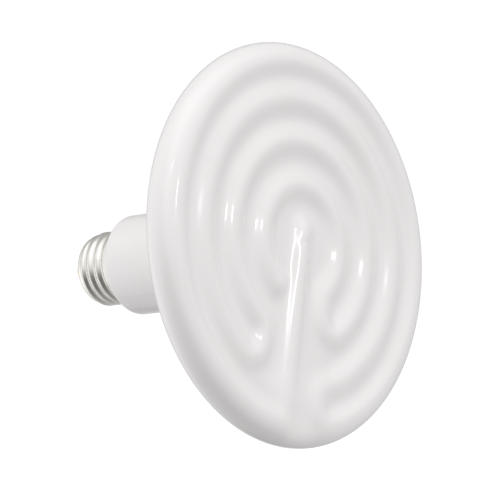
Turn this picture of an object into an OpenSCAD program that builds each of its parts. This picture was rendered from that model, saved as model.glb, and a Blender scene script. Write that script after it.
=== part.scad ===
// Flat ceramic heat emitter with a ridged face and a screw cap.
// The lamp axis is Y. The face looks along -Y and the screw cap points along +Y.
// The origin is the centre of the neck's end face, where the cap's shell starts.
// The straight rib of the face runs down from the centre, along -Z.

/* [Disc] */
// Outside diameter of the disc
disc_d = 138; // [136:0.5:170]
// Thickness of the rounded rim
rim_t = 13; // [11:0.5:15]
// Distance from the crests of the face to the neck's end face
face_to_neck = 77; // [60:0.5:110]
// How much further back the disc reaches at the neck than at the rim
back_rise = 7; // [3:0.5:12]
// Fillet between the back of the disc and the neck
root_r = 9; // [4:0.5:14]

/* [Face ridges] */
// Radius of the inner turn of the ridge, at its crest
inner_turn_r = 19.8; // [19:0.1:21]
// Radius of the middle turn
middle_turn_r = 34.9; // [34:0.1:36]
// Radius of the outer turn, the next one in from the rim
outer_turn_r = 49.1; // [48:0.1:50]
// Height of the crests above the grooves
ridge_h = 2.9; // [1:0.1:4]
// Half width of a ridge at its foot
ridge_half_w = 7.4; // [5.5:0.1:8]
// Radius of the corners where one turn folds back into the next
fold_r = 6; // [4:0.1:6.4]
// Distance from the straight rib to the fold that joins the inner and middle turns
inner_fold_x = 13.4; // [12.5:0.1:14.5]
// Distance from the straight rib to the fold that joins the middle and outer turns
middle_fold_x = 14.4; // [12.5:0.1:17]
// Distance from the straight rib to the fold that joins the outer turn and the rim
outer_fold_x = 16; // [12.5:0.1:20]
// How far the straight rib reaches above the lamp axis
rib_head_z = 4; // [1:0.1:6]
// Rise of the middle of the face above its edge
face_dome = 0.3; // [0:0.1:2]

/* [Neck] */
// Diameter of the neck
neck_d = 35.2; // [31:0.2:44]
// Rounding of the neck's end
neck_end_r = 1.4; // [0.4:0.1:2]
// Diameter of the spigot that carries the screw cap
spigot_d = 21; // [17:0.1:22]
// How far the spigot stops short of where the shell's end rolls in
spigot_gap = 2.4; // [1:0.1:6]

/* [Screw cap] */
// Outside diameter of the cap, over the crests of its thread
cap_d = 26.3; // [26.05:0.05:26.45]
// Depth of the thread
thread_h = 0.95; // [0.6:0.05:1]
// Pitch of the thread
thread_pitch = 3.629; // [3.2:0.001:4]
// Length of the plain band between the neck and the thread
band_l = 3; // [2:0.1:4]
// Length of the shell, from the neck to its rolled end
shell_l = 18.6; // [17.8:0.1:22]
// Rounding of the shell's rolled end
shell_end_r = 2.2; // [1:0.1:2.4]
// Wall of the shell at the bottom of its thread
shell_wall = 0.6; // [0.4:0.05:0.7]
// Diameter of the opening in the shell's rolled end
shell_mouth_d = 17.6; // [15:0.1:18.4]

/* [Cap end] */
// Diameter of the insulator's small end
insulator_d = 12.4; // [11.6:0.1:14]
// Height of the insulator behind the shell
insulator_h = 4.6; // [3:0.1:6]
// Diameter of the centre contact
contact_d = 10; // [8:0.1:11]
// Thickness of the centre contact
contact_t = 1.6; // [1:0.1:2.4]
// Diameter of the solder drop on the contact
solder_d = 4.2; // [2:0.1:5]
// Height of the solder drop
solder_h = 0.9; // [0.4:0.1:1]

/* [Hidden] */

$fn = 96;
glaze = [0.93, 0.92, 0.91];
nickel = [0.80, 0.79, 0.75];
cement = [0.74, 0.72, 0.68];
vitrite = [0.10, 0.09, 0.11];
brass = [0.80, 0.72, 0.52];
solder = [0.66, 0.66, 0.67];

disc_r = disc_d / 2;
rim_r = rim_t / 2;
rim_turn_r = disc_r - rim_r;
crest_y = -face_to_neck;
rim_mid_y = crest_y + rim_r;
neck_r = neck_d / 2;
spigot_r = spigot_d / 2;
cap_r = cap_d / 2;
root_cap_r = cap_r - thread_h;
bore_r = root_cap_r - shell_wall;
roll_y = shell_l - shell_end_r;
spigot_l = roll_y - spigot_gap;
contact_y = shell_l + insulator_h;
solder_y = contact_y + contact_t;
contact_edge_r = contact_t / 3;

// Grid of the face: rings on the flat, rings round the rim's front half, points on each
// ring, and how far the points crowd towards the straight rib, where the ridge folds
flat_rings = 34;
round_rings = 5;
face_points = 112;
face_crowding = 22;
// How sharply the straight rib and the turns run into each other, as the power of the blend
blend_power = 3;
// How deep one piece of the ceramic's form is sunk in the next, so that they join
bury = 0.8;
lap = 0.05;

// Grid of the thread: points round the shell, and rows for each pitch
thread_points = 48;
thread_rows = 8;

module on_axis() rotate([-90, 0, 0]) children();
module turned() on_axis() rotate_extrude() children();

// The ridge of the face is one line. It leaves the rib's head, runs down the rib, round
// the rim, and folds back three times to end against the rib. Angles are measured about
// the lamp axis from the rib, and are positive to the right.
function polar(r, a) = [r * sin(a), -r * cos(a)];

// A fold's corner is an arc that touches a turn of radius r and the upright piece at x.
// It lies inside the turn when s is 1, and outside it when s is -1.
function corner_a(r, x, s) = asin((x + fold_r) / (r - s * fold_r));
function corner_z(r, x, s) = -sqrt(pow(r - s * fold_r, 2) - pow(x + fold_r, 2));

// An arc is [centre x, centre z, radius, middle angle, half of its sweep]
function arc(x, z, r, from_a, to_a) = [x, z, r, (from_a + to_a) / 2, abs(to_a - from_a) / 2];
function turn(r, from_a, to_a) = arc(0, 0, r, from_a, to_a);
function corner(r, x, s, side) =
    arc(side * (x + fold_r), corner_z(r, x, s), fold_r,
        side * (s > 0 ? -90 : 270), side * (corner_a(r, x, s) + (s > 0 ? 0 : 180)));

// An upright piece is [x, lowest z, highest z]
function upright(outer_r, inner_r, x, side) =
    [side * x, corner_z(outer_r, x, 1), corner_z(inner_r, x, -1)];

ARCS = [
    turn(rim_turn_r, corner_a(rim_turn_r, outer_fold_x, 1), 360),
    turn(outer_turn_r, corner_a(outer_turn_r, outer_fold_x, -1),
         360 - corner_a(outer_turn_r, middle_fold_x, 1)),
    turn(middle_turn_r, corner_a(middle_turn_r, inner_fold_x, 1),
         360 - corner_a(middle_turn_r, middle_fold_x, -1)),
    turn(inner_turn_r, corner_a(inner_turn_r, inner_fold_x, -1), 360),
    corner(rim_turn_r, outer_fold_x, 1, 1),
    corner(outer_turn_r, outer_fold_x, -1, 1),
    corner(outer_turn_r, middle_fold_x, 1, -1),
    corner(middle_turn_r, middle_fold_x, -1, -1),
    corner(middle_turn_r, inner_fold_x, 1, 1),
    corner(inner_turn_r, inner_fold_x, -1, 1)
];
RIB = [0, -rim_turn_r, rib_head_z];
UPRIGHTS = [
    upright(rim_turn_r, outer_turn_r, outer_fold_x, 1),
    upright(outer_turn_r, middle_turn_r, middle_fold_x, -1),
    upright(middle_turn_r, inner_turn_r, inner_fold_x, 1)
];

function wrap(a) = a - 360 * round(a / 360);
function arc_gap(p, k) =
    let (from_centre = [p[0] - k[0], p[1] - k[1]],
         off = wrap(atan2(from_centre[0], -from_centre[1]) - k[3]))
    abs(off) <= k[4]
        ? abs(norm(from_centre) - k[2])
        : norm(from_centre - polar(k[2], k[3] + sign(off) * k[4]));
function upright_gap(p, k) = norm([p[0] - k[0], p[1] - min(max(p[1], k[1]), k[2])]);

// Share of the ridge's height at a distance from its crest
function swell(gap) = gap >= ridge_half_w ? 0 : pow(cos(90 * gap / ridge_half_w), 2);
function turns_gap(p) =
    min(concat([for (k = ARCS) arc_gap(p, k)], [for (k = UPRIGHTS) upright_gap(p, k)]));
function blended(s, t) =
    pow(1 - (1 - pow(s, blend_power)) * (1 - pow(t, blend_power)), 1 / blend_power);
function ridge(p) = blended(swell(upright_gap(p, RIB)), swell(turns_gap(p)));

// The face and the front half of the rim are one skin of rings. The first rings lie
// evenly from the centre to the rim's crest, and the rest turn down the rim's round.
// A groove that runs out over the rim fades away on the way down.
function ring_turn(i) = 90 * max(0, i - flat_rings) / round_rings;
function ring_r(i) =
    i <= flat_rings ? rim_turn_r * i / flat_rings : rim_turn_r + rim_r * sin(ring_turn(i));
function ring_fall(i) = rim_r * (1 - cos(ring_turn(i)));
function face_depth(r, a, turned_down) =
    ridge_h * (1 - ridge(polar(min(r, rim_turn_r), a))) * pow(cos(turned_down), 2)
    - face_dome * max(0, 1 - pow(r / rim_turn_r, 2));

module face_skin() {
    spokes = [for (j = [0:face_points - 1])
        let (a = 360 * j / face_points) a - face_crowding * sin(a)];
    last = flat_rings + round_rings;
    points = concat(
        [[0, crest_y + face_depth(0, 0, 0), 0]],
        [for (i = [1:last], a = spokes)
            let (r = ring_r(i),
                 p = polar(r, a))
            [p[0], crest_y + ring_fall(i) + face_depth(r, a, ring_turn(i)), p[1]]],
        [for (a = spokes)
            let (p = polar(disc_r - bury, a))
            [p[0], rim_mid_y + bury, p[1]]]
    );
    function at(i, j) = 1 + (i - 1) * face_points + j % face_points;
    faces = concat(
        [for (j = [0:face_points - 1]) [0, at(1, j + 1), at(1, j)]],
        [for (i = [1:last], j = [0:face_points - 1])
            [at(i, j), at(i + 1, j + 1), at(i + 1, j)]],
        [for (i = [1:last], j = [0:face_points - 1])
            [at(i, j), at(i, j + 1), at(i + 1, j + 1)]],
        [[for (j = [0:face_points - 1]) at(last + 1, j)]]
    );
    polyhedron(points, faces);
}

// The back of the disc is a shallow cone that touches the rim's round
back_slope = atan(back_rise / (rim_turn_r - neck_r));
cone_start = [rim_turn_r + rim_r * sin(back_slope),
              rim_mid_y + rim_r * cos(back_slope)];
neck_start_y = cone_start[1] + (cone_start[0] - neck_r) * tan(back_slope);
root_reach = root_r / tan((90 + back_slope) / 2);

module rim_section() {
    intersection() {
        translate([rim_turn_r, rim_mid_y]) circle(r = rim_r);
        translate([0, rim_mid_y + lap]) square([disc_r, rim_r]);
    }
}

module root_fillet_section() {
    difference() {
        polygon([
            [neck_r - bury, neck_start_y],
            [neck_r - bury, neck_start_y + root_reach],
            [neck_r, neck_start_y + root_reach],
            [neck_r + root_r, neck_start_y + root_reach],
            [neck_r + root_reach * cos(back_slope),
             neck_start_y - root_reach * sin(back_slope)]
        ]);
        translate([neck_r + root_r, neck_start_y + root_reach]) circle(r = root_r);
    }
}

module body_section() {
    rim_section();
    root_fillet_section();
    translate([neck_r - neck_end_r, -neck_end_r]) circle(r = neck_end_r);
    polygon([
        [0, rim_mid_y + lap],
        [rim_turn_r, rim_mid_y + lap],
        cone_start,
        [neck_r, neck_start_y],
        [neck_r, -neck_end_r],
        [neck_r - neck_end_r, -neck_end_r],
        [neck_r - neck_end_r, 0],
        [spigot_r, 0],
        [spigot_r, spigot_l],
        [0, spigot_l]
    ]);
}

module ceramic_body() {
    color(glaze) {
        turned() body_section();
        face_skin();
    }
}

// Radius of the rolled thread at a height y and an angle a about the lamp axis.
// It runs out into the band at the neck and into the plain end of the shell. It lies a
// hair inside the band and outside the rolled end, so that it meets each at a flat step.
thread_from_y = band_l - lap;
thread_to_y = roll_y + lap;
thread_steps = round(thread_rows * (thread_to_y - thread_from_y) / thread_pitch);
function ramp(t) = (1 - cos(180 * min(1, max(0, t)))) / 2;
function thread_r(y, a) =
    let (wave = (1 + cos(360 * y / thread_pitch + a)) / 2,
         from_band = ramp(2 * (y - band_l) / thread_pitch),
         from_end = ramp(2 * (roll_y - y) / thread_pitch),
         share = 1 - from_band * (1 - wave))
    root_cap_r + lap + (thread_h - 2 * lap) * share * from_end;

module rolled_thread() {
    points = [
        for (i = [0:thread_steps], j = [0:thread_points - 1])
            let (y = thread_from_y + (thread_to_y - thread_from_y) * i / thread_steps,
                 a = 360 * j / thread_points,
                 r = thread_r(y, a))
            [r * sin(a), y, -r * cos(a)]
    ];
    function at(i, j) = i * thread_points + j % thread_points;
    faces = concat(
        [[for (j = [thread_points - 1:-1:0]) at(0, j)]],
        [for (i = [0:thread_steps - 1], j = [0:thread_points - 1])
            [at(i, j), at(i + 1, j + 1), at(i + 1, j)]],
        [for (i = [0:thread_steps - 1], j = [0:thread_points - 1])
            [at(i, j), at(i, j + 1), at(i + 1, j + 1)]],
        [[for (j = [0:thread_points - 1]) at(thread_steps, j)]]
    );
    polyhedron(points, faces);
}

module rolled_end_section(r) {
    inner_x = root_cap_r - shell_end_r;
    intersection() {
        translate([inner_x, roll_y]) circle(r = r);
        translate([0, roll_y - bury]) square([inner_x + r, r + bury]);
    }
    translate([0, roll_y - bury]) square([inner_x, bury + r]);
}

module shell_inside_section(from_y) {
    translate([0, from_y]) square([bore_r, roll_y - from_y]);
    rolled_end_section(shell_end_r - shell_wall);
}

module screw_shell() {
    color(nickel) {
        difference() {
            union() {
                on_axis() cylinder(r = cap_r, h = band_l);
                rolled_thread();
                turned() rolled_end_section(shell_end_r);
            }
            turned() shell_inside_section(-bury);
            on_axis() cylinder(d = shell_mouth_d, h = shell_l + bury);
        }
    }
}

module cap_cement() {
    color(cement) {
        difference() {
            on_axis() cylinder(r = bore_r, h = spigot_l);
            translate([0, -bury, 0]) on_axis() cylinder(r = spigot_r, h = spigot_l + 2 * bury);
        }
    }
}

module cap_insulator() {
    color(vitrite) {
        turned() {
            shell_inside_section(spigot_l);
            polygon([
                [0, roll_y],
                [shell_mouth_d / 2, roll_y],
                [shell_mouth_d / 2, shell_l],
                [insulator_d / 2, contact_y],
                [0, contact_y]
            ]);
        }
    }
}

module centre_contact() {
    color(brass) {
        turned() {
            translate([0, contact_y]) square([contact_d / 2, contact_t - contact_edge_r]);
            translate([0, contact_y]) square([contact_d / 2 - contact_edge_r, contact_t]);
            translate([contact_d / 2 - contact_edge_r, solder_y - contact_edge_r])
                circle(r = contact_edge_r);
        }
    }
}

module contact_solder() {
    ball_r = (pow(solder_d / 2, 2) + pow(solder_h, 2)) / (2 * solder_h);
    color(solder) {
        turned() intersection() {
            translate([0, solder_y + solder_h - ball_r]) circle(r = ball_r);
            translate([0, solder_y]) square([solder_d / 2, solder_h]);
        }
    }
}

ceramic_body();
screw_shell();
cap_cement();
cap_insulator();
centre_contact();
contact_solder();
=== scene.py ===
"""A flat ceramic heat emitter with a folded ridge on its face, dressed for a studio picture.

The lamp axis is Y. The face looks along -Y, the screw cap points along +Y, and the
straight rib of the face runs down from the centre, along -Z. Lengths are in metres.
"""

import logging
import math
from dataclasses import dataclass
from enum import Enum

import bpy
import numpy as np
from mathutils import Matrix, Vector

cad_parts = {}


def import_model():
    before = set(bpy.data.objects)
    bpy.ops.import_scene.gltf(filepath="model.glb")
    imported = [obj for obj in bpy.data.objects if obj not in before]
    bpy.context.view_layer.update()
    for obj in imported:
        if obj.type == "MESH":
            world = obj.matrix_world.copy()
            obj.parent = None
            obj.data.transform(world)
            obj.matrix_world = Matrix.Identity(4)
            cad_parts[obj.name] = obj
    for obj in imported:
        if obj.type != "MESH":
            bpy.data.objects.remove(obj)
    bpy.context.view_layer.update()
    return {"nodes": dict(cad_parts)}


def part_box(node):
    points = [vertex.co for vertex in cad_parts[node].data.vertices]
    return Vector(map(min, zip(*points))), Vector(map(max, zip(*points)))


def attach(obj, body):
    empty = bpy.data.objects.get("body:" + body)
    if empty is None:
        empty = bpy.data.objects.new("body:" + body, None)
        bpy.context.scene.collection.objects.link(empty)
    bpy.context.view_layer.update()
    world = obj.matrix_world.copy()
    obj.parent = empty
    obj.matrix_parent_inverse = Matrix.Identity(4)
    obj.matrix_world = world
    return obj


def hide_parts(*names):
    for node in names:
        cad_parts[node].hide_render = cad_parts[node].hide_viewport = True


MM = 0.001
MERGE_GAP = 1e-6

log = logging.getLogger("heat_emitter")


class Slot(Enum):
    """The record's material slots, one for each of the pieces' finishes."""

    GLAZE = "white_glaze"
    NICKEL = "nickel_plate"
    CEMENT = "cement"
    VITRITE = "dark_vitrite"
    BRASS = "contact_metal"
    SOLDER = "solder"


class Turn(Enum):
    """Which side of a turn of the ridge a fold's corner lies on."""

    INSIDE = 1
    OUTSIDE = -1


# Node tools for the finishes


class NodeBench:
    """Builds one material's nodes, each placed by a call and joined by name."""

    def __init__(self, name: str) -> None:
        """Starts a material that has only a shader and its output.

        Args:
            name: The material's name.
        """
        self.material = bpy.data.materials.new(name)
        self.material.use_nodes = True
        self.tree = self.material.node_tree
        self.shader = self.tree.nodes["Principled BSDF"]
        self.place = self.add("ShaderNodeTexCoord").outputs["Object"]

    def add(self, kind: str, **settings: object) -> bpy.types.Node:
        """Adds a node.

        Args:
            kind: The node's type.
            settings: Properties of the node, by name.

        Returns:
            The new node.
        """
        node = self.tree.nodes.new(kind)
        for key, value in settings.items():
            setattr(node, key, value)
        return node

    def join(self, source: bpy.types.NodeSocket, target: bpy.types.NodeSocket) -> None:
        """Links one socket to another.

        Args:
            source: The output.
            target: The input.
        """
        self.tree.links.new(source, target)

    def set(self, **values: object) -> None:
        """Sets the shader's own sockets.

        Args:
            values: Socket names, with _ for each space, and their values.
        """
        for key, value in values.items():
            self.shader.inputs[key.replace("_", " ")].default_value = value

    def noise(self, size: float, detail: float = 2.0, rough: float = 0.5) -> bpy.types.NodeSocket:
        """A noise on Object coordinates.

        Args:
            size: About how far apart its patches are, in metres.
            detail: How many finer layers it has.
            rough: How strong the finer layers are.

        Returns:
            The noise's value.
        """
        node = self.add("ShaderNodeTexNoise")
        node.inputs["Scale"].default_value = 1.0 / size
        node.inputs["Detail"].default_value = detail
        node.inputs["Roughness"].default_value = rough
        self.join(self.place, node.inputs["Vector"])
        return node.outputs["Fac"]

    def ramp(
        self, value: bpy.types.NodeSocket, stops: list[tuple[float, tuple[float, ...]]]
    ) -> bpy.types.NodeSocket:
        """A colour ramp.

        Args:
            value: What it is read by.
            stops: Each stop's place and its colour.

        Returns:
            The colour.
        """
        node = self.add("ShaderNodeValToRGB")
        band = node.color_ramp
        while len(band.elements) < len(stops):
            band.elements.new(0.5)
        for element, (place, colour) in zip(band.elements, stops):
            element.position = place
            element.color = (*colour, 1.0)
        self.join(value, node.inputs["Fac"])
        return node.outputs["Color"]

    def span(self, value: bpy.types.NodeSocket, low: float, high: float) -> bpy.types.NodeSocket:
        """Spreads a value from 0 to 1 over a new range.

        Args:
            value: The value.
            low: What 0 becomes.
            high: What 1 becomes.

        Returns:
            The new value.
        """
        node = self.add("ShaderNodeMapRange")
        node.inputs["To Min"].default_value = low
        node.inputs["To Max"].default_value = high
        self.join(value, node.inputs["Value"])
        return node.outputs["Result"]

    def bump(
        self, value: bpy.types.NodeSocket, depth: float, under: bpy.types.NodeSocket | None = None
    ) -> bpy.types.NodeSocket:
        """A bump.

        Args:
            value: The height, from 0 to 1.
            depth: How deep it is, in metres.
            under: A bump that this one lies on.

        Returns:
            The changed normal.
        """
        node = self.add("ShaderNodeBump")
        node.inputs["Strength"].default_value = 1.0
        node.inputs["Distance"].default_value = depth
        self.join(value, node.inputs["Height"])
        if under is not None:
            self.join(under, node.inputs["Normal"])
        return node.outputs["Normal"]


@dataclass(frozen=True)
class GlazeFinish:
    """White glaze on cast ceramic: clear gloss over a slightly uneven body."""

    pale: tuple[float, ...] = (0.868, 0.850, 0.847)
    thin: tuple[float, ...] = (0.850, 0.827, 0.824)
    roughness: float = 0.16
    ripple_size: float = 14 * MM
    ripple_depth: float = 0.05 * MM
    peel_size: float = 1.1 * MM
    peel_depth: float = 0.0012 * MM

    def material(self) -> bpy.types.Material:
        """The finish as a material."""
        bench = NodeBench("white_glaze")
        bench.set(IOR=1.5, Coat_Weight=0.6, Coat_Roughness=0.05)
        cloud = bench.noise(22 * MM, detail=3.0)
        bench.join(
            bench.ramp(cloud, [(0.3, self.thin), (0.7, self.pale)]),
            bench.shader.inputs["Base Color"],
        )
        bench.join(
            bench.span(cloud, self.roughness * 0.9, self.roughness * 1.15),
            bench.shader.inputs["Roughness"],
        )
        ripple = bench.bump(bench.noise(self.ripple_size), self.ripple_depth)
        peel = bench.bump(bench.noise(self.peel_size), self.peel_depth, ripple)
        bench.join(peel, bench.shader.inputs["Normal"])
        return bench.material


@dataclass(frozen=True)
class NickelFinish:
    """Bright nickel plate on rolled sheet, with faint draw lines."""

    bright: tuple[float, ...] = (0.76, 0.745, 0.71)
    dull: tuple[float, ...] = (0.66, 0.645, 0.605)
    roughness: float = 0.25

    def material(self) -> bpy.types.Material:
        """The finish as a material."""
        bench = NodeBench("nickel_plate")
        bench.set(Metallic=1.0)
        cloud = bench.noise(3 * MM, detail=5.0, rough=0.6)
        bench.join(
            bench.ramp(cloud, [(0.3, self.dull), (0.65, self.bright)]),
            bench.shader.inputs["Base Color"],
        )
        bench.join(
            bench.span(cloud, self.roughness * 1.3, self.roughness * 0.8),
            bench.shader.inputs["Roughness"],
        )
        stretch = bench.add("ShaderNodeMapping")
        stretch.inputs["Scale"].default_value = (0.15, 1.0, 0.15)
        bench.join(bench.place, stretch.inputs["Vector"])
        lines = bench.add("ShaderNodeTexNoise")
        lines.inputs["Scale"].default_value = 1.0 / (0.35 * MM)
        bench.join(stretch.outputs["Vector"], lines.inputs["Vector"])
        bench.join(
            bench.bump(lines.outputs["Fac"], 0.004 * MM), bench.shader.inputs["Normal"]
        )
        return bench.material


@dataclass(frozen=True)
class CementFinish:
    """Rough grey cement that holds the shell on the ceramic."""

    pale: tuple[float, ...] = (0.62, 0.6, 0.56)
    dark: tuple[float, ...] = (0.47, 0.45, 0.41)

    def material(self) -> bpy.types.Material:
        """The finish as a material."""
        bench = NodeBench("cement")
        bench.set(Roughness=0.9)
        grain = bench.noise(0.6 * MM, detail=6.0, rough=0.7)
        bench.join(
            bench.ramp(grain, [(0.35, self.dark), (0.65, self.pale)]),
            bench.shader.inputs["Base Color"],
        )
        bench.join(bench.bump(grain, 0.08 * MM), bench.shader.inputs["Normal"])
        return bench.material


@dataclass(frozen=True)
class VitriteFinish:
    """Nearly black glass that insulates the cap's end, pressed and slightly rippled."""

    deep: tuple[float, ...] = (0.012, 0.011, 0.016)
    worn: tuple[float, ...] = (0.035, 0.032, 0.042)

    def material(self) -> bpy.types.Material:
        """The finish as a material."""
        bench = NodeBench("dark_vitrite")
        bench.set(IOR=1.52)
        cloud = bench.noise(2.2 * MM, detail=4.0)
        bench.join(
            bench.ramp(cloud, [(0.35, self.deep), (0.7, self.worn)]),
            bench.shader.inputs["Base Color"],
        )
        bench.join(bench.span(cloud, 0.08, 0.24), bench.shader.inputs["Roughness"])
        bench.join(
            bench.bump(bench.noise(1.6 * MM), 0.02 * MM), bench.shader.inputs["Normal"]
        )
        return bench.material


@dataclass(frozen=True)
class BrassFinish:
    """Satin brass of the contact, a little tarnished in patches."""

    clean: tuple[float, ...] = (0.78, 0.69, 0.49)
    dull: tuple[float, ...] = (0.58, 0.49, 0.32)

    def material(self) -> bpy.types.Material:
        """The finish as a material."""
        bench = NodeBench("contact_brass")
        bench.set(Metallic=1.0)
        cloud = bench.noise(1.8 * MM, detail=5.0, rough=0.6)
        bench.join(
            bench.ramp(cloud, [(0.35, self.dull), (0.6, self.clean)]),
            bench.shader.inputs["Base Color"],
        )
        bench.join(bench.span(cloud, 0.42, 0.24), bench.shader.inputs["Roughness"])
        bench.join(
            bench.bump(bench.noise(0.5 * MM, detail=3.0), 0.006 * MM),
            bench.shader.inputs["Normal"],
        )
        return bench.material


@dataclass(frozen=True)
class SolderFinish:
    """Soft grey solder, satin where it has set."""

    bright: tuple[float, ...] = (0.66, 0.66, 0.67)
    dull: tuple[float, ...] = (0.45, 0.45, 0.47)

    def material(self) -> bpy.types.Material:
        """The finish as a material."""
        bench = NodeBench("solder")
        bench.set(Metallic=1.0)
        cloud = bench.noise(0.9 * MM, detail=5.0, rough=0.6)
        bench.join(
            bench.ramp(cloud, [(0.35, self.dull), (0.65, self.bright)]),
            bench.shader.inputs["Base Color"],
        )
        bench.join(bench.span(cloud, 0.45, 0.22), bench.shader.inputs["Roughness"])
        bench.join(bench.bump(cloud, 0.03 * MM), bench.shader.inputs["Normal"])
        return bench.material


# Shapes that several pieces share


def arc_points(
    centre: tuple[float, float], radius: float, start: float, end: float, steps: int
) -> list[tuple[float, float]]:
    """Points on an arc of an outline, both ends included.

    Args:
        centre: The arc's centre, as its distance from the axis and its height along it.
        radius: The arc's radius.
        start: The first angle, in degrees from straight out.
        end: The last angle.
        steps: How many steps lie between them.

    Returns:
        The points, each as its distance from the axis and its height along it.
    """
    angles = [math.radians(start + (end - start) * i / steps) for i in range(steps + 1)]
    return [
        (centre[0] + radius * math.cos(a), centre[1] + radius * math.sin(a)) for a in angles
    ]


def line_points(
    start: tuple[float, float], end: tuple[float, float], steps: int
) -> list[tuple[float, float]]:
    """Even points on a straight stretch of an outline, without its first one.

    Args:
        start: Where the stretch starts.
        end: Where it ends.
        steps: How many steps it has.

    Returns:
        The points after the first.
    """
    return [
        (
            start[0] + (end[0] - start[0]) * i / steps,
            start[1] + (end[1] - start[1]) * i / steps,
        )
        for i in range(1, steps + 1)
    ]


def turned_piece(
    name: str, outline: list[tuple[float, float]], spokes: int
) -> bpy.types.Object:
    """Turns a piece on the lamp axis: draws its outline point by point and spins it.

    Args:
        name: The piece's name.
        outline: Its points, each as its distance from the axis and its height along it.
        spokes: How many steps the full turn has.

    Returns:
        The piece, closed and smooth.
    """
    bpy.ops.object.select_all(action="DESELECT")
    bpy.ops.mesh.primitive_plane_add(size=MM, location=(0, 0, 0))
    piece = bpy.context.active_object
    piece.name = name
    piece.data.name = name
    bpy.ops.object.mode_set(mode="EDIT")
    bpy.ops.mesh.select_all(action="SELECT")
    bpy.ops.mesh.merge(type="CENTER")
    bpy.ops.transform.translate(value=(0, outline[0][1], -outline[0][0]))
    for (r0, y0), (r1, y1) in zip(outline, outline[1:]):
        bpy.ops.mesh.extrude_region_move(
            TRANSFORM_OT_translate={"value": (0, y1 - y0, r0 - r1)}
        )
    bpy.ops.mesh.select_all(action="SELECT")
    bpy.ops.mesh.spin(steps=spokes, angle=math.tau, center=(0, 0, 0), axis=(0, 1, 0))
    bpy.ops.mesh.select_all(action="SELECT")
    bpy.ops.mesh.remove_doubles(threshold=MERGE_GAP)
    bpy.ops.mesh.normals_make_consistent(inside=False)
    bpy.ops.object.mode_set(mode="OBJECT")
    bpy.ops.object.shade_smooth()
    return piece


def vertex_places(piece: bpy.types.Object) -> np.ndarray:
    """A piece's vertices as an array of x, y and z."""
    places = np.zeros(len(piece.data.vertices) * 3)
    piece.data.vertices.foreach_get("co", places)
    return places.reshape(-1, 3)


def move_vertices(piece: bpy.types.Object, places: np.ndarray) -> None:
    """Puts a piece's vertices at new places.

    Args:
        piece: The piece.
        places: The new x, y and z of each vertex.
    """
    piece.data.vertices.foreach_set("co", places.ravel())
    piece.data.update()


def seat(
    piece: bpy.types.Object, material: bpy.types.Material, slot: Slot, *nodes: str
) -> None:
    """Gives a finished piece its material and its body, and hides the nodes it stands for.

    Args:
        piece: The piece.
        material: Its finish.
        slot: The record's slot for that finish. Not used.
        nodes: The nodes that it replaces.
    """
    piece.data.materials.clear()
    piece.data.materials.append(material)
    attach(piece, "root")
    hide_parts(*nodes)
    log.info("%s: %d faces, for %s", piece.name, len(piece.data.polygons), ", ".join(nodes))


# The ridge of the face


@dataclass(frozen=True)
class Arc:
    """A round stretch of the ridge's line. Angles are in degrees from the straight rib."""

    x: float
    z: float
    radius: float
    middle: float
    half_sweep: float

    def gap(self, x: np.ndarray, z: np.ndarray) -> np.ndarray:
        """Distance of each point from the stretch.

        Args:
            x: The points' places across the face.
            z: The points' places up the face.

        Returns:
            The distances.
        """
        dx = x - self.x
        dz = z - self.z
        off = np.degrees(np.arctan2(dx, -dz)) - self.middle
        off -= 360 * np.round(off / 360)
        end = np.radians(self.middle + np.sign(off) * self.half_sweep)
        to_end = np.hypot(dx - self.radius * np.sin(end), dz + self.radius * np.cos(end))
        to_arc = np.abs(np.hypot(dx, dz) - self.radius)
        return np.where(np.abs(off) <= self.half_sweep, to_arc, to_end)


@dataclass(frozen=True)
class Upright:
    """A straight stretch of the ridge's line, along the rib."""

    x: float
    low: float
    high: float

    def gap(self, x: np.ndarray, z: np.ndarray) -> np.ndarray:
        """Distance of each point from the stretch.

        Args:
            x: The points' places across the face.
            z: The points' places up the face.

        Returns:
            The distances.
        """
        return np.hypot(x - self.x, z - np.clip(z, self.low, self.high))


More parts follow.
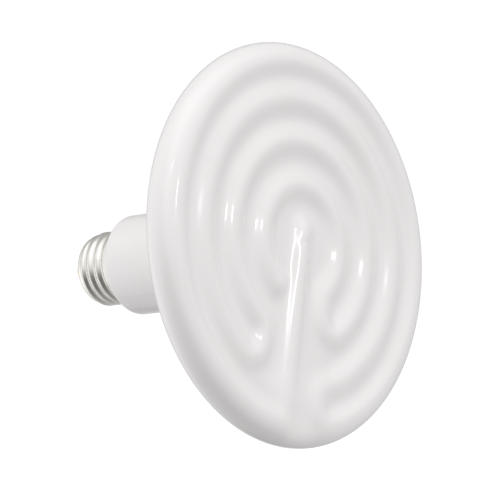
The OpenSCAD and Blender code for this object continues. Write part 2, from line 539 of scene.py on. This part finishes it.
@dataclass(frozen=True)
class FoldedRidge:
    """One ridge that leaves the rib's head, runs round the rim and folds back three times."""

    rim_r: float
    outer_r: float = 49.1 * MM
    middle_r: float = 34.9 * MM
    inner_r: float = 19.8 * MM
    height: float = 2.12 * MM
    half_width: float = 7.1 * MM
    fold_r: float = 6 * MM
    inner_fold: float = 13.4 * MM
    middle_fold: float = 14.4 * MM
    outer_fold: float = 16 * MM
    rib_head: float = 4 * MM
    inner_end: float = 33
    dome: float = 0.3 * MM
    blend_power: float = 3.0
    rim_groove_ease: float = 0.22
    rim_groove_r: float = 53 * MM
    rim_groove_reach: float = 4.5 * MM
    right_ease: float = 0.3
    right_side: tuple[float, ...] = (1 * MM, 6 * MM, 15 * MM, 22 * MM)
    right_start: tuple[float, ...] = (10 * MM, 20 * MM)
    left_ease: float = 0.13
    left_side: tuple[float, ...] = (0, 1 * MM, 7 * MM, 11 * MM)
    left_start: tuple[float, ...] = (6 * MM, 20 * MM)

    def corner_turn(self, r: float, x: float, side: Turn) -> float:
        """Where a fold's corner meets a turn, in degrees from the rib.

        Args:
            r: The turn's radius.
            x: The fold's distance from the rib.
            side: Which side of the turn the corner lies on.

        Returns:
            The angle.
        """
        return math.degrees(math.asin((x + self.fold_r) / (r - side.value * self.fold_r)))

    def corner_height(self, r: float, x: float, side: Turn) -> float:
        """How high up the face a fold's corner has its centre.

        Args:
            r: The turn's radius.
            x: The fold's distance from the rib.
            side: Which side of the turn the corner lies on.

        Returns:
            The centre's z.
        """
        return -math.sqrt((r - side.value * self.fold_r) ** 2 - (x + self.fold_r) ** 2)

    def turn(self, r: float, start: float, end: float) -> Arc:
        """One turn of the ridge about the lamp axis.

        Args:
            r: Its radius.
            start: Where it starts, in degrees from the rib.
            end: Where it ends.

        Returns:
            The turn.
        """
        return Arc(0, 0, r, (start + end) / 2, (end - start) / 2)

    def corner(self, r: float, x: float, side: Turn, hand: int) -> Arc:
        """The corner where a turn folds into an upright stretch.

        Args:
            r: The turn's radius.
            x: The fold's distance from the rib.
            side: Which side of the turn the corner lies on.
            hand: 1 for a fold right of the rib, and -1 for one left of it.

        Returns:
            The corner.
        """
        meets = self.corner_turn(r, x, side)
        start = hand * (-90 if side is Turn.INSIDE else 270)
        end = hand * (meets + (0 if side is Turn.INSIDE else 180))
        return Arc(
            hand * (x + self.fold_r),
            self.corner_height(r, x, side),
            self.fold_r,
            (start + end) / 2,
            abs(end - start) / 2,
        )

    def upright(self, outer: float, inner: float, x: float, hand: int) -> Upright:
        """The straight stretch of a fold.

        Args:
            outer: Radius of the turn that it comes from.
            inner: Radius of the turn that it goes to.
            x: Its distance from the rib.
            hand: 1 for a fold right of the rib, and -1 for one left of it.

        Returns:
            The stretch.
        """
        low = self.corner_height(outer, x, Turn.INSIDE)
        return Upright(hand * x, low, self.corner_height(inner, x, Turn.OUTSIDE))

    def turns(self) -> list[Arc | Upright]:
        """Every stretch of the ridge's line but the straight rib."""
        into, out_of = Turn.INSIDE, Turn.OUTSIDE
        folds = [
            (self.rim_r, self.outer_r, self.outer_fold, 1),
            (self.outer_r, self.middle_r, self.middle_fold, -1),
            (self.middle_r, self.inner_r, self.inner_fold, 1),
        ]
        line: list[Arc | Upright] = [
            self.turn(self.rim_r, self.corner_turn(self.rim_r, self.outer_fold, into), 360),
            self.turn(
                self.outer_r,
                self.corner_turn(self.outer_r, self.outer_fold, out_of),
                360 - self.corner_turn(self.outer_r, self.middle_fold, into),
            ),
            self.turn(
                self.middle_r,
                self.corner_turn(self.middle_r, self.inner_fold, into),
                360 - self.corner_turn(self.middle_r, self.middle_fold, out_of),
            ),
            self.turn(
                self.inner_r,
                self.corner_turn(self.inner_r, self.inner_fold, out_of),
                360 - self.inner_end,
            ),
        ]
        for outer, inner, x, hand in folds:
            line.append(self.corner(outer, x, into, hand))
            line.append(self.corner(inner, x, out_of, hand))
            line.append(self.upright(outer, inner, x, hand))
        return line

    def share(self, x: np.ndarray, z: np.ndarray) -> np.ndarray:
        """Share of the ridge's full height at each point of the face.

        Args:
            x: The points' places across the face.
            z: The points' places up the face.

        Returns:
            The shares, from 0 in a groove to 1 on a crest.
        """
        rib = self.swell(Upright(0, -self.rim_r, self.rib_head).gap(x, z))
        turns = self.swell(np.minimum.reduce([t.gap(x, z) for t in self.turns()]))
        power = self.blend_power
        return (1 - (1 - rib**power) * (1 - turns**power)) ** (1 / power)

    def swell(self, gap: np.ndarray) -> np.ndarray:
        """Share of the ridge's height at each distance from its crest."""
        return np.cos(math.pi / 2 * np.minimum(gap / self.half_width, 1)) ** 2

    @staticmethod
    def soft_step(value: np.ndarray, start: float, end: float) -> np.ndarray:
        """A soft step from 0 at start to 1 at end."""
        t = np.clip((value - start) / (end - start), 0, 1)
        return t * t * (3 - 2 * t)

    def ease(self, x: np.ndarray, z: np.ndarray) -> np.ndarray:
        """How much of their depth the grooves keep at each point.

        Args:
            x: The points' places across the face.
            z: The points' places up the face.

        Returns:
            The shares: less than 1 beside the rim, and beside the rib between the folds.
        """
        from_rim = (np.hypot(x, z) - self.rim_groove_r) / self.rim_groove_reach
        kept = 1 - self.rim_groove_ease * np.exp(-(from_rim**2))
        sides = [
            (x, self.right_side, self.right_start, self.right_ease),
            (-x, self.left_side, self.left_start, self.left_ease),
        ]
        for out, (near, full, fades, ends), start, loss in sides:
            side = self.soft_step(out, near, full) * (1 - self.soft_step(out, fades, ends))
            kept = kept * (1 - loss * side * self.soft_step(-z, *start))
        return kept

    def depth(self, x: np.ndarray, z: np.ndarray, turned_down: np.ndarray) -> np.ndarray:
        """How far the face lies behind the crests.

        Args:
            x: The points' places across the face.
            z: The points' places up the face.
            turned_down: How far round the rim each point is, in radians.

        Returns:
            The depths. A groove that runs out over the rim fades away round it.
        """
        r = np.hypot(x, z)
        inside = np.minimum(1, self.rim_r / np.maximum(r, MERGE_GAP))
        groove = self.height * (1 - self.share(x * inside, z * inside)) * self.ease(x, z)
        rise = self.dome * np.maximum(0, 1 - (r / self.rim_r) ** 2)
        return groove * np.cos(turned_down) ** 2 - rise


@dataclass
class CeramicBody:
    """The glazed casting: disc with its ridged face, neck, and the spigot in the cap."""

    rim_r: float = 6.5 * MM
    back_rise: float = 7 * MM
    root_r: float = 9 * MM
    neck_r: float = 17.6 * MM
    neck_end_r: float = 1.4 * MM
    spigot_r: float = 10.5 * MM
    spokes: int = 512
    face_rings: int = 104
    rim_rings: int = 22
    glaze_passes: int = 20

    def __post_init__(self) -> None:
        """Takes the casting's overall sizes from its node."""
        low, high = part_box("ceramic_body")
        self.disc_r = (high.x - low.x) / 2
        self.crest_y = -77 * MM
        self.spigot_y = high.y
        self.turn_r = self.disc_r - self.rim_r
        self.rim_mid_y = self.crest_y + self.rim_r
        self.ridge = FoldedRidge(self.turn_r)

    def back_outline(self) -> list[tuple[float, float]]:
        """The back from where it leaves the rim's round to the end of the spigot."""
        slope = math.atan(self.back_rise / (self.turn_r - self.neck_r))
        leave = (
            self.turn_r + self.rim_r * math.sin(slope),
            self.rim_mid_y + self.rim_r * math.cos(slope),
        )
        neck_start = leave[1] + (leave[0] - self.neck_r) * math.tan(slope)
        reach = self.root_r / math.tan((math.pi / 2 + slope) / 2)
        fillet_centre = (self.neck_r + self.root_r, neck_start + reach)
        fillet = arc_points(fillet_centre, self.root_r, -90 - math.degrees(slope), -180, 14)
        end_centre = (self.neck_r - self.neck_end_r, -self.neck_end_r)
        end_round = arc_points(end_centre, self.neck_end_r, 0, 90, 8)
        points = line_points(leave, fillet[0], 10) + fillet[1:]
        points += line_points(fillet[-1], end_round[0], 12) + end_round[1:]
        points += line_points(end_round[-1], (self.spigot_r, 0), 3)
        points += line_points((self.spigot_r, 0), (self.spigot_r, self.spigot_y), 3)
        points += line_points((self.spigot_r, self.spigot_y), (0, self.spigot_y), 2)
        return points

    def outline(self) -> list[tuple[float, float]]:
        """The whole outline, from the middle of the face round to the spigot's end."""
        slope = math.degrees(math.atan(self.back_rise / (self.turn_r - self.neck_r)))
        face = [(0.0, self.crest_y)]
        face += line_points(face[0], (self.turn_r, self.crest_y), self.face_rings)
        round_rim = arc_points(
            (self.turn_r, self.rim_mid_y), self.rim_r, -90, 90 - slope, self.rim_rings
        )
        return face + round_rim[1:] + self.back_outline()

    def press_ridge(self, piece: bpy.types.Object) -> None:
        """Presses the ridge's grooves into the face of the turned casting.

        Args:
            piece: The casting, turned but flat.
        """
        places = vertex_places(piece)
        x, y, z = places.T
        front = y < self.rim_mid_y - MERGE_GAP
        down = np.clip((np.hypot(x, z) - self.turn_r) / self.rim_r, 0, 1)
        turned = np.arcsin(down)
        places[front, 1] += self.ridge.depth(x, z, turned)[front]
        move_vertices(piece, places)

    def soften(self, piece: bpy.types.Object) -> None:
        """Rounds the grooves and the folds' corners, as the fired glaze does.

        Args:
            piece: The casting with its ridge.
        """
        front = vertex_places(piece)[:, 1] < self.rim_mid_y - MERGE_GAP
        bpy.ops.object.mode_set(mode="EDIT")
        bpy.ops.mesh.select_all(action="DESELECT")
        bpy.ops.object.mode_set(mode="OBJECT")
        piece.data.vertices.foreach_set("select", front)
        bpy.ops.object.mode_set(mode="EDIT")
        bpy.ops.mesh.vertices_smooth(
            factor=0.5, repeat=self.glaze_passes, xaxis=False, yaxis=True, zaxis=False
        )
        bpy.ops.object.mode_set(mode="OBJECT")

    def build(self, material: bpy.types.Material) -> None:
        """Builds the casting and seats it.

        Args:
            material: The glaze.
        """
        piece = turned_piece("glazed_casting", self.outline(), self.spokes)
        self.press_ridge(piece)
        self.soften(piece)
        seat(piece, material, Slot.GLAZE, "ceramic_body")


@dataclass
class ScrewShell:
    """The cap's shell: a plain band, a rolled right-hand thread and a rolled end."""

    thread_depth: float = 0.95 * MM
    pitch: float = 3.629 * MM
    band: float = 3 * MM
    end_r: float = 2.2 * MM
    wall: float = 0.6 * MM
    mouth_r: float = 8.8 * MM
    spokes: int = 192
    row: float = 0.16 * MM

    def __post_init__(self) -> None:
        """Takes the shell's overall sizes from its node."""
        low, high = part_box("screw_shell")
        self.crest_r = 13.15 * MM
        self.length = high.y
        self.root_r = self.crest_r - self.thread_depth
        self.roll_y = self.length - self.end_r

    def outline(self) -> list[tuple[float, float]]:
        """The shell's outline, from the neck over the outside and back down the bore."""
        bore = self.root_r - self.wall
        inner_end = self.end_r - self.wall
        centre = (self.root_r - self.end_r, self.roll_y)
        rows = round(self.roll_y / self.row)
        points = [(bore, 0.0), (self.root_r, 0.0)]
        points += line_points(points[-1], (self.root_r, self.roll_y), rows)
        points += arc_points(centre, self.end_r, 0, 90, 12)[1:]
        points += [(self.mouth_r, self.length), (self.mouth_r, self.length - self.wall)]
        points += arc_points(centre, inner_end, 90, 0, 8)
        return points + [(bore, 0.0)]

    def thread_share(self, y: np.ndarray, turned: np.ndarray) -> np.ndarray:
        """Share of the thread's depth that stands out at each point.

        Args:
            y: The points' heights along the axis.
            turned: Their angles about it, from the rib's side, in radians.

        Returns:
            The shares: 1 on the band and on the crests, and 0 at the rolled end.
        """
        wave = (1 + np.cos(math.tau * y / self.pitch + turned)) / 2
        from_band = self.ramp(2 * (y - self.band) / self.pitch)
        from_end = self.ramp(2 * (self.roll_y - y) / self.pitch)
        return (1 - from_band * (1 - wave)) * from_end

    @staticmethod
    def ramp(t: np.ndarray) -> np.ndarray:
        """A soft step from 0 to 1 as t goes from 0 to 1."""
        return (1 - np.cos(math.pi * np.clip(t, 0, 1))) / 2

    def roll_thread(self, piece: bpy.types.Object) -> None:
        """Rolls the thread into the shell's outside.

        Args:
            piece: The shell, turned but plain.
        """
        places = vertex_places(piece)
        x, y, z = places.T
        r = np.hypot(x, z)
        outside = (r > self.root_r - MERGE_GAP) & (y <= self.roll_y)
        share = self.thread_share(y, np.arctan2(x, -z))
        stretch = np.where(outside, (self.root_r + self.thread_depth * share) / r, 1)
        places[:, 0] *= stretch
        places[:, 2] *= stretch
        move_vertices(piece, places)

    def build(self, material: bpy.types.Material) -> None:
        """Builds the shell and seats it.

        Args:
            material: The plating.
        """
        piece = turned_piece("rolled_shell", self.outline(), self.spokes)
        self.roll_thread(piece)
        bpy.ops.object.shade_smooth_by_angle(angle=math.radians(40))
        seat(piece, material, Slot.NICKEL, "screw_shell")


@dataclass
class CapEnd:
    """The cap's end: dark insulator, brass contact and the solder drop on it."""

    mouth_r: float = 8.8 * MM
    spokes: int = 96

    def __post_init__(self) -> None:
        """Takes the pieces' places from their nodes."""
        low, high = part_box("cap_insulator")
        self.inner_y = low.y
        self.top_y = high.y
        self.shell_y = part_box("screw_shell")[1].y
        self.contact_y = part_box("centre_contact")[1].y
        self.contact_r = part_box("centre_contact")[1].x
        self.solder_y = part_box("contact_solder")[1].y
        self.solder_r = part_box("contact_solder")[1].x

    def insulator_outline(self) -> list[tuple[float, float]]:
        """The insulator: filled shell end, then a cone with a rounded top."""
        top_r = 6.2 * MM
        edge = 0.6 * MM
        lip = 0.35 * MM
        points = [(0.0, self.inner_y), (11.6 * MM, self.inner_y)]
        points += [(11.6 * MM, self.shell_y - 2.2 * MM)]
        points += arc_points((10 * MM, self.shell_y - 2.2 * MM), 1.6 * MM, 0, 90, 8)[1:]
        points += [(self.mouth_r, self.shell_y - 0.6 * MM), (self.mouth_r, self.shell_y - lip)]
        points += arc_points((self.mouth_r - lip, self.shell_y - lip), lip, 0, 60, 4)[1:]
        points += line_points(points[-1], (top_r + 0.3 * MM, self.top_y - edge), 8)
        points += arc_points((top_r - edge, self.top_y - edge), edge, 20, 90, 6)
        return points + [(0.0, self.top_y)]

    def contact_outline(self) -> list[tuple[float, float]]:
        """The contact: a flat cup with a rounded edge and a slight dish in its middle."""
        edge = 0.53 * MM
        dish_r = 2.9 * MM
        dish = 0.25 * MM
        points = [(0.0, self.top_y), (self.contact_r, self.top_y)]
        points += arc_points(
            (self.contact_r - edge, self.contact_y - edge), edge, 0, 90, 8
        )
        points += [(dish_r + 0.5 * MM, self.contact_y)]
        points += [(dish_r, self.contact_y - dish)]
        return points + [(0.0, self.contact_y - dish)]

    def solder_outline(self) -> list[tuple[float, float]]:
        """The solder drop, a low dome."""
        rise = self.solder_y - self.contact_y
        ball = (self.solder_r**2 + rise**2) / (2 * rise)
        half = math.degrees(math.asin(self.solder_r / ball))
        centre = (0.0, self.solder_y - ball)
        base = self.contact_y - 0.25 * MM
        points = [(0.0, base), (self.solder_r, base)]
        return points + arc_points(centre, ball, 90 - half, 90, 12)

    def build(
        self,
        vitrite: bpy.types.Material,
        brass: bpy.types.Material,
        tin: bpy.types.Material,
    ) -> None:
        """Builds the three pieces and seats them.

        Args:
            vitrite: The insulator's finish.
            brass: The contact's finish.
            tin: The solder's finish.
        """
        parts = [
            ("pressed_insulator", self.insulator_outline(), vitrite, Slot.VITRITE, "cap_insulator"),
            ("contact_cup", self.contact_outline(), brass, Slot.BRASS, "centre_contact"),
            ("solder_drop", self.solder_outline(), tin, Slot.SOLDER, "contact_solder"),
        ]
        for name, outline, material, slot, node in parts:
            piece = turned_piece(name, outline, self.spokes)
            bpy.ops.object.shade_smooth_by_angle(angle=math.radians(35))
            seat(piece, material, slot, node)


# The studio


@dataclass(frozen=True)
class View:
    """Where the camera stands, as angles about a point on the lamp axis."""

    target: tuple[float, float, float] = (0.0, -52.4 * MM, 0.0)
    azimuth: float = -48.114
    elevation: float = -15.532
    roll: float = -5.879
    distance: float = 1.0256
    lens: float = 216.0
    sensor: float = 36.0

    def back(self) -> Vector:
        """Direction from the target to the camera."""
        azimuth = math.radians(self.azimuth)
        elevation = math.radians(self.elevation)
        flat = math.cos(elevation)
        return Vector(
            (flat * math.sin(azimuth), -flat * math.cos(azimuth), math.sin(elevation))
        )

    def turned(self) -> Matrix:
        """The camera's turn, as a matrix of its right, up and backward directions."""
        back = self.back()
        level = Vector((0, 0, 1)).cross(back).normalized()
        upright = back.cross(level)
        roll = math.radians(self.roll)
        up = upright * math.cos(roll) + level * math.sin(roll)
        right = up.cross(back)
        return Matrix((right, up, back)).transposed()

    def build(self) -> None:
        """Adds the camera and makes it the scene's."""
        camera = bpy.data.cameras.new("camera")
        camera.lens = self.lens
        camera.sensor_width = self.sensor
        camera.clip_end = 50
        holder = bpy.data.objects.new("camera", camera)
        bpy.context.scene.collection.objects.link(holder)
        place = Vector(self.target) + self.back() * self.distance
        holder.matrix_world = Matrix.Translation(place) @ self.turned().to_4x4()
        bpy.context.scene.camera = holder


@dataclass(frozen=True)
class Softbox:
    """A flat light that faces the lamp, placed by its direction as the camera sees it."""

    name: str
    right: float
    up: float
    toward: float
    distance: float
    width: float
    height: float
    radiance: float

    def build(self, view: View) -> None:
        """Adds the light.

        Args:
            view: The camera's view, whose right, up and backward it is placed by.
        """
        away = (view.turned() @ Vector((self.right, self.up, self.toward))).normalized()
        light = bpy.data.lights.new(self.name, "AREA")
        light.shape = "RECTANGLE"
        light.size = self.width
        light.size_y = self.height
        light.energy = self.radiance * math.pi * self.width * self.height
        holder = bpy.data.objects.new(self.name, light)
        bpy.context.scene.collection.objects.link(holder)
        place = Vector(view.target) + away * self.distance
        turn = away.to_track_quat("Z", "Y").to_matrix().to_4x4()
        holder.matrix_world = Matrix.Translation(place) @ turn


@dataclass(frozen=True)
class Glow:
    """A broad soft light in the surroundings, placed by its direction as the camera sees it."""

    right: float
    up: float
    toward: float
    radiance: float

    def direction(self, view: View) -> Vector:
        """Its direction in the lamp's frame."""
        return (view.turned() @ Vector((self.right, self.up, self.toward))).normalized()


@dataclass(frozen=True)
class Studio:
    """White surroundings with broad soft lights, a pale floor far below and one window."""

    surround: float = 0.2
    backdrop: float = 1.05
    glow_edge: float = 0.45
    glow_core: float = 0.95
    floor_z: float = -0.75
    floor_size: float = 8.0
    floor_grey: float = 0.8

    def glows(self) -> list[Glow]:
        """The broad lights."""
        return [
            Glow(0.0, 1.0, -0.2, 0.30),
            Glow(1.0, 1.0, 1.0, 0.80),
            Glow(0.0, 1.0, 1.0, 0.35),
            Glow(-1.0, 1.0, 1.0, 0.50),
            Glow(-1.0, 0.0, 0.0, 0.50),
            Glow(1.0, 0.0, 0.0, 0.20),
            Glow(1.0, 0.0, -1.0, 0.30),
            Glow(0.0, -1.0, -1.0, 0.25),
            Glow(-1.0, -1.0, 0.0, 0.52),
            Glow(-1.0, 0.0, -1.0, 0.40),
            Glow(1.0, -1.0, 0.0, 0.16),
        ]

    def lights(self) -> list[Softbox]:
        """The softboxes."""
        return [
            Softbox("window", 0.84, 0.318, 0.44, 3.0, 0.11, 0.26, 20.0),
            Softbox("small_window", 0.21, 0.63, 0.75, 1.5, 0.05, 0.1, 14.0),
        ]

    def glow_sum(self, tree: bpy.types.NodeTree, view: View) -> bpy.types.NodeSocket:
        """Adds up the surroundings' light in each direction.

        Args:
            tree: The world's nodes.
            view: The camera's view, which the glows are placed by.

        Returns:
            The light's strength.
        """
        place = tree.nodes.new("ShaderNodeTexCoord").outputs["Generated"]
        total = None
        for glow in self.glows():
            facing = tree.nodes.new("ShaderNodeVectorMath")
            facing.operation = "DOT_PRODUCT"
            facing.inputs[1].default_value = glow.direction(view)
            tree.links.new(place, facing.inputs[0])
            soft = tree.nodes.new("ShaderNodeMapRange")
            soft.interpolation_type = "SMOOTHSTEP"
            soft.inputs["From Min"].default_value = self.glow_edge
            soft.inputs["From Max"].default_value = self.glow_core
            soft.inputs["To Max"].default_value = glow.radiance
            tree.links.new(facing.outputs["Value"], soft.inputs["Value"])
            add = tree.nodes.new("ShaderNodeMath")
            add.inputs[0].default_value = self.surround
            if total is not None:
                tree.links.new(total, add.inputs[0])
            tree.links.new(soft.outputs["Result"], add.inputs[1])
            total = add.outputs["Value"]
        return total

    def world(self, view: View) -> None:
        """Plain white behind the lamp, and the surroundings' light on it.

        Args:
            view: The camera's view, which the glows are placed by.
        """
        world = bpy.data.worlds.new("studio")
        world.use_nodes = True
        tree = world.node_tree
        lit = tree.nodes["Background"]
        tree.links.new(self.glow_sum(tree, view), lit.inputs["Color"])
        seen = tree.nodes.new("ShaderNodeBackground")
        seen.inputs["Color"].default_value = (1, 1, 1, 1)
        seen.inputs["Strength"].default_value = self.backdrop
        rays = tree.nodes.new("ShaderNodeLightPath")
        mix = tree.nodes.new("ShaderNodeMixShader")
        tree.links.new(rays.outputs["Is Camera Ray"], mix.inputs["Fac"])
        tree.links.new(lit.outputs["Background"], mix.inputs[1])
        tree.links.new(seen.outputs["Background"], mix.inputs[2])
        tree.links.new(mix.outputs["Shader"], tree.nodes["World Output"].inputs["Surface"])
        bpy.context.scene.world = world

    def floor(self) -> None:
        """A plain pale floor, far enough below to stay out of the picture."""
        bpy.ops.object.select_all(action="DESELECT")
        bpy.ops.mesh.primitive_plane_add(
            size=self.floor_size, location=(0, 0, self.floor_z)
        )
        floor = bpy.context.active_object
        floor.name = "studio_floor"
        bench = NodeBench("floor_paint")
        grey = self.floor_grey
        tone = bench.noise(0.4, detail=3.0)
        bench.join(
            bench.ramp(tone, [(0.3, (grey * 0.97,) * 3), (0.7, (grey,) * 3)]),
            bench.shader.inputs["Base Color"],
        )
        bench.set(Roughness=0.8)
        floor.data.materials.append(bench.material)
        floor.visible_diffuse = False
        floor.visible_glossy = False

    def build(self, view: View) -> None:
        """Builds the surroundings and the lights.

        Args:
            view: The camera's view.
        """
        self.world(view)
        self.floor()
        for softbox in self.lights():
            softbox.build(view)
        bpy.context.scene.view_settings.view_transform = "Standard"


def main() -> None:
    """Loads the frame, dresses the lamp and builds the studio."""
    logging.basicConfig(level=logging.INFO, format="%(name)s: %(message)s")
    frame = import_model()
    view = View()
    view.build()
    CeramicBody().build(GlazeFinish().material())
    ScrewShell().build(NickelFinish().material())
    CapEnd().build(
        VitriteFinish().material(), BrassFinish().material(), SolderFinish().material()
    )
    cement = frame["nodes"]["cap_cement"]
    cement.data.materials.clear()
    cement.data.materials.append(CementFinish().material())
    Studio().build(view)


if __name__ == "__main__":
    main()
